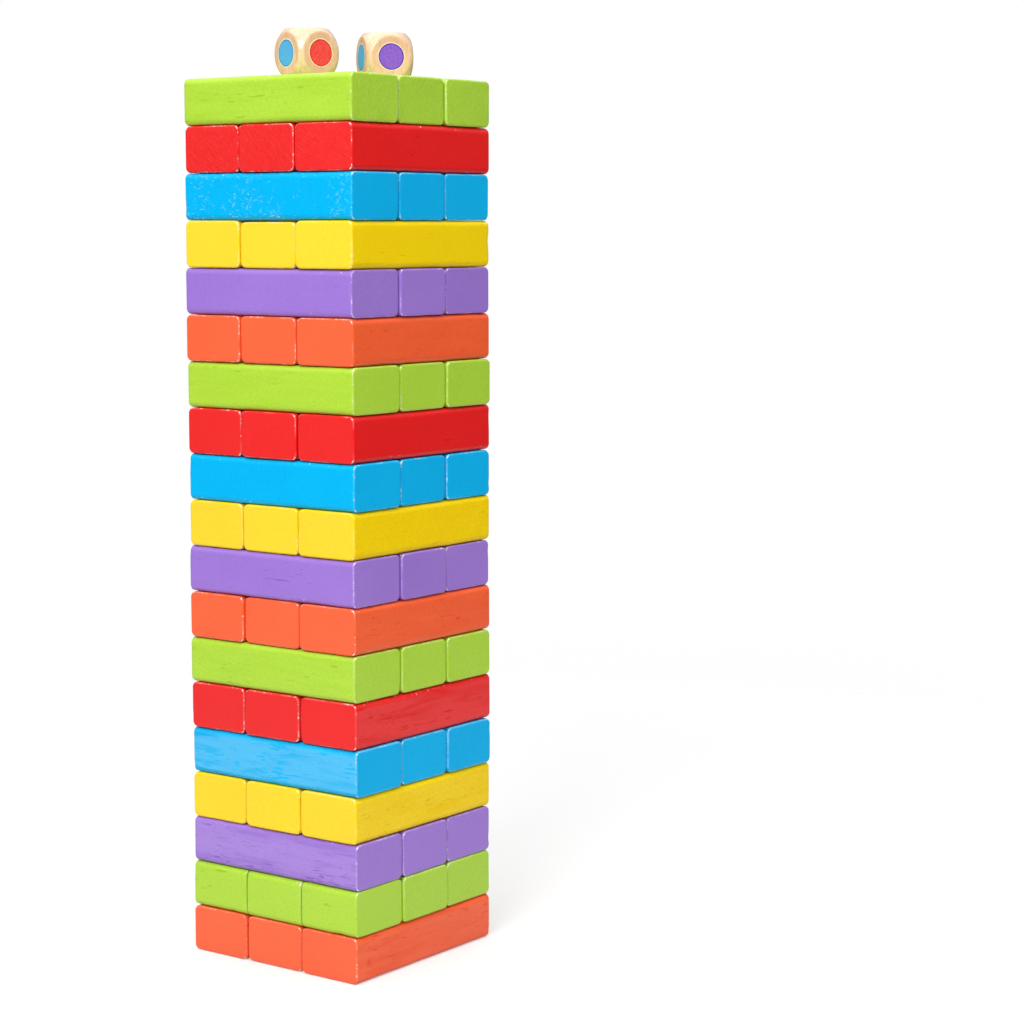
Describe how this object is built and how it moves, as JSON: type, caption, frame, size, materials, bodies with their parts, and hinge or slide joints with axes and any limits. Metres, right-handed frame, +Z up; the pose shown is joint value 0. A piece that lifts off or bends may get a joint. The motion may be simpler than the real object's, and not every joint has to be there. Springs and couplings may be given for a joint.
{
  "type": "tumbling tower",
  "caption": "Tumbling tower of painted wooden blocks in crosswise courses, each block free to be pulled out lengthways, with wooden colour dice resting on top.",
  "frame": {"origin": "centre of the tower's footprint, on the table", "axes": "+Z up the tower; X and Y along the blocks of alternate courses, with the second course from the top running along Y"},
  "size_m": [0.0704, 0.0705, 0.301],
  "materials": {
    "paint_orange": "satin",
    "paint_green": "satin",
    "paint_purple": "satin",
    "paint_yellow": "satin",
    "paint_blue": "satin",
    "paint_red": "satin",
    "natural_wood": "satin"
  },
  "bodies": {
    "course_01_orange_left": {"course_01_orange_left": "paint_orange"},
    "course_01_orange_middle": {"course_01_orange_middle": "paint_orange"},
    "course_01_orange_right": {"course_01_orange_right": "paint_orange"},
    "course_02_green_back": {"course_02_green_back": "paint_green"},
    "course_02_green_front_short_blocks": {"course_02_green_front_short_blocks": "paint_green"},
    "course_02_green_middle": {"course_02_green_middle": "paint_green"},
    "course_03_purple_back": {"course_03_purple_back": "paint_purple"},
    "course_03_purple_front": {"course_03_purple_front": "paint_purple"},
    "course_03_purple_middle": {"course_03_purple_middle": "paint_purple"},
    "course_04_yellow_left": {"course_04_yellow_left": "paint_yellow"},
    "course_04_yellow_middle": {"course_04_yellow_middle": "paint_yellow"},
    "course_04_yellow_right": {"course_04_yellow_right": "paint_yellow"},
    "course_05_blue_back": {"course_05_blue_back": "paint_blue"},
    "course_05_blue_front": {"course_05_blue_front": "paint_blue"},
    "course_05_blue_middle": {"course_05_blue_middle": "paint_blue"},
    "course_06_red_left": {"course_06_red_left": "paint_red"},
    "course_06_red_middle": {"course_06_red_middle": "paint_red"},
    "course_06_red_right": {"course_06_red_right": "paint_red"},
    "course_07_green_back": {"course_07_green_back": "paint_green"},
    "course_07_green_front": {"course_07_green_front": "paint_green"},
    "course_07_green_middle": {"course_07_green_middle": "paint_green"},
    "course_08_orange_left": {"course_08_orange_left": "paint_orange"},
    "course_08_orange_middle": {"course_08_orange_middle": "paint_orange"},
    "course_08_orange_right": {"course_08_orange_right": "paint_orange"},
    "course_09_purple_back": {"course_09_purple_back": "paint_purple"},
    "course_09_purple_front": {"course_09_purple_front": "paint_purple"},
    "course_09_purple_middle": {"course_09_purple_middle": "paint_purple"},
    "course_10_yellow_left": {"course_10_yellow_left": "paint_yellow"},
    "course_10_yellow_middle": {"course_10_yellow_middle": "paint_yellow"},
    "course_10_yellow_right": {"course_10_yellow_right": "paint_yellow"},
    "course_11_blue_back": {"course_11_blue_back": "paint_blue"},
    "course_11_blue_front": {"course_11_blue_front": "paint_blue"},
    "course_11_blue_middle": {"course_11_blue_middle": "paint_blue"},
    "course_12_red_left": {"course_12_red_left": "paint_red"},
    "course_12_red_middle": {"course_12_red_middle": "paint_red"},
    "course_12_red_right": {"course_12_red_right": "paint_red"},
    "course_13_green_back": {"course_13_green_back": "paint_green"},
    "course_13_green_front": {"course_13_green_front": "paint_green"},
    "course_13_green_middle": {"course_13_green_middle": "paint_green"},
    "course_14_orange_left": {"course_14_orange_left": "paint_orange"},
    "course_14_orange_middle": {"course_14_orange_middle": "paint_orange"},
    "course_14_orange_right": {"course_14_orange_right": "paint_orange"},
    "course_15_purple_back": {"course_15_purple_back": "paint_purple"},
    "course_15_purple_front": {"course_15_purple_front": "paint_purple"},
    "course_15_purple_middle": {"course_15_purple_middle": "paint_purple"},
    "course_16_yellow_left": {"course_16_yellow_left": "paint_yellow"},
    "course_16_yellow_middle": {"course_16_yellow_middle": "paint_yellow"},
    "course_16_yellow_right": {"course_16_yellow_right": "paint_yellow"},
    "course_17_blue_back": {"course_17_blue_back": "paint_blue"},
    "course_17_blue_front": {"course_17_blue_front": "paint_blue"},
    "course_17_blue_middle": {"course_17_blue_middle": "paint_blue"},
    "course_18_red_left": {"course_18_red_left": "paint_red"},
    "course_18_red_middle": {"course_18_red_middle": "paint_red"},
    "course_18_red_right": {"course_18_red_right": "paint_red"},
    "course_19_green_back": {"course_19_green_back": "paint_green"},
    "course_19_green_front": {"course_19_green_front": "paint_green"},
    "course_19_green_middle": {"course_19_green_middle": "paint_green"},
    "die_back": {"die_back": "natural_wood"},
    "die_front": {"die_front": "natural_wood"}
  },
  "joints": [
    {"name": "die_front_lift", "type": "slide", "parent": "course_19_green_middle", "child": "die_front", "axis": [0, 0, 1], "range_m": [0, 0.1]},
    {"name": "die_back_lift", "type": "slide", "parent": "course_19_green_back", "child": "die_back", "axis": [0, 0, 1], "range_m": [0, 0.1]},
    {"name": "course_19_green_back_pull", "type": "slide", "parent": "course_01_orange_middle", "child": "course_19_green_back", "axis": [1, 0, 0], "range_m": [-0.072, 0.072]},
    {"name": "course_19_green_front_pull", "type": "slide", "parent": "course_01_orange_middle", "child": "course_19_green_front", "axis": [1, 0, 0], "range_m": [-0.072, 0.072]},
    {"name": "course_19_green_middle_pull", "type": "slide", "parent": "course_01_orange_middle", "child": "course_19_green_middle", "axis": [1, 0, 0], "range_m": [-0.072, 0.072]},
    {"name": "course_18_red_left_pull", "type": "slide", "parent": "course_01_orange_middle", "child": "course_18_red_left", "axis": [0, 1, 0], "range_m": [-0.072, 0.072]},
    {"name": "course_18_red_middle_pull", "type": "slide", "parent": "course_01_orange_middle", "child": "course_18_red_middle", "axis": [0, 1, 0], "range_m": [-0.072, 0.072]},
    {"name": "course_18_red_right_pull", "type": "slide", "parent": "course_01_orange_middle", "child": "course_18_red_right", "axis": [0, 1, 0], "range_m": [-0.072, 0.072]},
    {"name": "course_17_blue_back_pull", "type": "slide", "parent": "course_01_orange_middle", "child": "course_17_blue_back", "axis": [1, 0, 0], "range_m": [-0.072, 0.072]},
    {"name": "course_17_blue_front_pull", "type": "slide", "parent": "course_01_orange_middle", "child": "course_17_blue_front", "axis": [1, 0, 0], "range_m": [-0.072, 0.072]},
    {"name": "course_17_blue_middle_pull", "type": "slide", "parent": "course_01_orange_middle", "child": "course_17_blue_middle", "axis": [1, 0, 0], "range_m": [-0.072, 0.072]},
    {"name": "course_16_yellow_left_pull", "type": "slide", "parent": "course_01_orange_middle", "child": "course_16_yellow_left", "axis": [0, 1, 0], "range_m": [-0.072, 0.072]},
    {"name": "course_16_yellow_middle_pull", "type": "slide", "parent": "course_01_orange_middle", "child": "course_16_yellow_middle", "axis": [0, 1, 0], "range_m": [-0.072, 0.072]},
    {"name": "course_16_yellow_right_pull", "type": "slide", "parent": "course_01_orange_middle", "child": "course_16_yellow_right", "axis": [0, 1, 0], "range_m": [-0.072, 0.072]},
    {"name": "course_15_purple_back_pull", "type": "slide", "parent": "course_01_orange_middle", "child": "course_15_purple_back", "axis": [1, 0, 0], "range_m": [-0.072, 0.072]},
    {"name": "course_15_purple_front_pull", "type": "slide", "parent": "course_01_orange_middle", "child": "course_15_purple_front", "axis": [1, 0, 0], "range_m": [-0.072, 0.072]},
    {"name": "course_15_purple_middle_pull", "type": "slide", "parent": "course_01_orange_middle", "child": "course_15_purple_middle", "axis": [1, 0, 0], "range_m": [-0.072, 0.072]},
    {"name": "course_14_orange_left_pull", "type": "slide", "parent": "course_01_orange_middle", "child": "course_14_orange_left", "axis": [0, 1, 0], "range_m": [-0.072, 0.072]},
    {"name": "course_14_orange_middle_pull", "type": "slide", "parent": "course_01_orange_middle", "child": "course_14_orange_middle", "axis": [0, 1, 0], "range_m": [-0.072, 0.072]},
    {"name": "course_14_orange_right_pull", "type": "slide", "parent": "course_01_orange_middle", "child": "course_14_orange_right", "axis": [0, 1, 0], "range_m": [-0.072, 0.072]},
    {"name": "course_13_green_back_pull", "type": "slide", "parent": "course_01_orange_middle", "child": "course_13_green_back", "axis": [1, 0, 0], "range_m": [-0.072, 0.072]},
    {"name": "course_13_green_front_pull", "type": "slide", "parent": "course_01_orange_middle", "child": "course_13_green_front", "axis": [1, 0, 0], "range_m": [-0.072, 0.072]},
    {"name": "course_13_green_middle_pull", "type": "slide", "parent": "course_01_orange_middle", "child": "course_13_green_middle", "axis": [1, 0, 0], "range_m": [-0.072, 0.072]},
    {"name": "course_12_red_left_pull", "type": "slide", "parent": "course_01_orange_middle", "child": "course_12_red_left", "axis": [0, 1, 0], "range_m": [-0.072, 0.072]},
    {"name": "course_12_red_middle_pull", "type": "slide", "parent": "course_01_orange_middle", "child": "course_12_red_middle", "axis": [0, 1, 0], "range_m": [-0.072, 0.072]},
    {"name": "course_12_red_right_pull", "type": "slide", "parent": "course_01_orange_middle", "child": "course_12_red_right", "axis": [0, 1, 0], "range_m": [-0.072, 0.072]},
    {"name": "course_11_blue_back_pull", "type": "slide", "parent": "course_01_orange_middle", "child": "course_11_blue_back", "axis": [1, 0, 0], "range_m": [-0.072, 0.072]},
    {"name": "course_11_blue_front_pull", "type": "slide", "parent": "course_01_orange_middle", "child": "course_11_blue_front", "axis": [1, 0, 0], "range_m": [-0.072, 0.072]},
    {"name": "course_11_blue_middle_pull", "type": "slide", "parent": "course_01_orange_middle", "child": "course_11_blue_middle", "axis": [1, 0, 0], "range_m": [-0.072, 0.072]},
    {"name": "course_10_yellow_left_pull", "type": "slide", "parent": "course_01_orange_middle", "child": "course_10_yellow_left", "axis": [0, 1, 0], "range_m": [-0.072, 0.072]},
    {"name": "course_10_yellow_middle_pull", "type": "slide", "parent": "course_01_orange_middle", "child": "course_10_yellow_middle", "axis": [0, 1, 0], "range_m": [-0.072, 0.072]},
    {"name": "course_10_yellow_right_pull", "type": "slide", "parent": "course_01_orange_middle", "child": "course_10_yellow_right", "axis": [0, 1, 0], "range_m": [-0.072, 0.072]},
    {"name": "course_09_purple_back_pull", "type": "slide", "parent": "course_01_orange_middle", "child": "course_09_purple_back", "axis": [1, 0, 0], "range_m": [-0.072, 0.072]},
    {"name": "course_09_purple_front_pull", "type": "slide", "parent": "course_01_orange_middle", "child": "course_09_purple_front", "axis": [1, 0, 0], "range_m": [-0.072, 0.072]},
    {"name": "course_09_purple_middle_pull", "type": "slide", "parent": "course_01_orange_middle", "child": "course_09_purple_middle", "axis": [1, 0, 0], "range_m": [-0.072, 0.072]},
    {"name": "course_08_orange_left_pull", "type": "slide", "parent": "course_01_orange_middle", "child": "course_08_orange_left", "axis": [0, 1, 0], "range_m": [-0.072, 0.072]},
    {"name": "course_08_orange_middle_pull", "type": "slide", "parent": "course_01_orange_middle", "child": "course_08_orange_middle", "axis": [0, 1, 0], "range_m": [-0.072, 0.072]},
    {"name": "course_08_orange_right_pull", "type": "slide", "parent": "course_01_orange_middle", "child": "course_08_orange_right", "axis": [0, 1, 0], "range_m": [-0.072, 0.072]},
    {"name": "course_07_green_back_pull", "type": "slide", "parent": "course_01_orange_middle", "child": "course_07_green_back", "axis": [1, 0, 0], "range_m": [-0.072, 0.072]},
    {"name": "course_07_green_front_pull", "type": "slide", "parent": "course_01_orange_middle", "child": "course_07_green_front", "axis": [1, 0, 0], "range_m": [-0.072, 0.072]},
    {"name": "course_07_green_middle_pull", "type": "slide", "parent": "course_01_orange_middle", "child": "course_07_green_middle", "axis": [1, 0, 0], "range_m": [-0.072, 0.072]},
    {"name": "course_06_red_left_pull", "type": "slide", "parent": "course_01_orange_middle", "child": "course_06_red_left", "axis": [0, 1, 0], "range_m": [-0.072, 0.072]},
    {"name": "course_06_red_middle_pull", "type": "slide", "parent": "course_01_orange_middle", "child": "course_06_red_middle", "axis": [0, 1, 0], "range_m": [-0.072, 0.072]},
    {"name": "course_06_red_right_pull", "type": "slide", "parent": "course_01_orange_middle", "child": "course_06_red_right", "axis": [0, 1, 0], "range_m": [-0.072, 0.072]},
    {"name": "course_05_blue_back_pull", "type": "slide", "parent": "course_01_orange_middle", "child": "course_05_blue_back", "axis": [1, 0, 0], "range_m": [-0.072, 0.072]},
    {"name": "course_05_blue_front_pull", "type": "slide", "parent": "course_01_orange_middle", "child": "course_05_blue_front", "axis": [1, 0, 0], "range_m": [-0.072, 0.072]},
    {"name": "course_05_blue_middle_pull", "type": "slide", "parent": "course_01_orange_middle", "child": "course_05_blue_middle", "axis": [1, 0, 0], "range_m": [-0.072, 0.072]},
    {"name": "course_04_yellow_left_pull", "type": "slide", "parent": "course_01_orange_middle", "child": "course_04_yellow_left", "axis": [0, 1, 0], "range_m": [-0.072, 0.072]},
    {"name": "course_04_yellow_middle_pull", "type": "slide", "parent": "course_01_orange_middle", "child": "course_04_yellow_middle", "axis": [0, 1, 0], "range_m": [-0.072, 0.072]},
    {"name": "course_04_yellow_right_pull", "type": "slide", "parent": "course_01_orange_middle", "child": "course_04_yellow_right", "axis": [0, 1, 0], "range_m": [-0.072, 0.072]},
    {"name": "course_03_purple_back_pull", "type": "slide", "parent": "course_01_orange_middle", "child": "course_03_purple_back", "axis": [1, 0, 0], "range_m": [-0.072, 0.072]},
    {"name": "course_03_purple_front_pull", "type": "slide", "parent": "course_01_orange_middle", "child": "course_03_purple_front", "axis": [1, 0, 0], "range_m": [-0.072, 0.072]},
    {"name": "course_03_purple_middle_pull", "type": "slide", "parent": "course_01_orange_middle", "child": "course_03_purple_middle", "axis": [1, 0, 0], "range_m": [-0.072, 0.072]},
    {"name": "course_02_green_back_pull", "type": "slide", "parent": "course_01_orange_middle", "child": "course_02_green_back", "axis": [1, 0, 0], "range_m": [-0.072, 0.072]},
    {"name": "course_02_green_front_short_blocks_pull", "type": "slide", "parent": "course_01_orange_middle", "child": "course_02_green_front_short_blocks", "axis": [1, 0, 0], "range_m": [-0.072, 0.072]},
    {"name": "course_02_green_middle_pull", "type": "slide", "parent": "course_01_orange_middle", "child": "course_02_green_middle", "axis": [1, 0, 0], "range_m": [-0.072, 0.072]},
    {"name": "course_01_orange_left_pull", "type": "slide", "parent": "course_01_orange_middle", "child": "course_01_orange_left", "axis": [0, 1, 0], "range_m": [-0.072, 0.072]},
    {"name": "course_01_orange_right_pull", "type": "slide", "parent": "course_01_orange_middle", "child": "course_01_orange_right", "axis": [0, 1, 0], "range_m": [-0.072, 0.072]}
  ]
}
